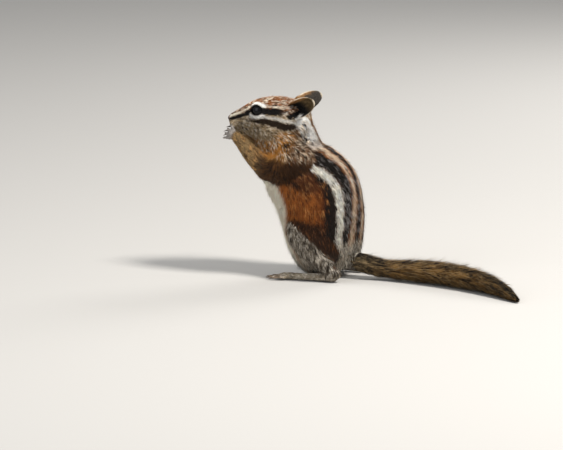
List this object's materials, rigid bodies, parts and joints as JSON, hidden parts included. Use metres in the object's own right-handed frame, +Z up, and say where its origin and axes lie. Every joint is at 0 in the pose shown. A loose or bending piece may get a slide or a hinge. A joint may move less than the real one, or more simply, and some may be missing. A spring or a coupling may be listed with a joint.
{
  "type": "chipmunk",
  "caption": "Life-size still model of a striped chipmunk sitting up on its hind feet with its forepaws held to its mouth and its tail laid out behind.",
  "frame": {"origin": "middle of the base of the bounding box, on the floor", "axes": "the animal faces -X with its left side towards -Y, and +Z is up"},
  "size_m": [0.1444, 0.0608, 0.0786],
  "materials": {
    "coat": "short dense fur, striped",
    "tail_coat": "long fur, grizzled",
    "ear": "thin skin with fine down",
    "paw": "skin with very short fur",
    "eye": "wet gloss",
    "claw": "smooth horn"
  },
  "bodies": {
    "root": {"head": "coat", "neck": "coat", "torso": "coat", "foreleg_left": "coat", "foreleg_right": "coat", "hindleg_left": "coat", "hindleg_right": "coat", "tail_base": "tail_coat", "tail_middle": "tail_coat", "tail_end": "tail_coat", "ear_left": "ear", "ear_right": "ear", "forepaw_left": "paw", "forepaw_right": "paw", "hindfoot_left": "paw", "hindfoot_right": "paw", "eye_left": "eye", "eye_right": "eye"}
  },
  "joints": []
}
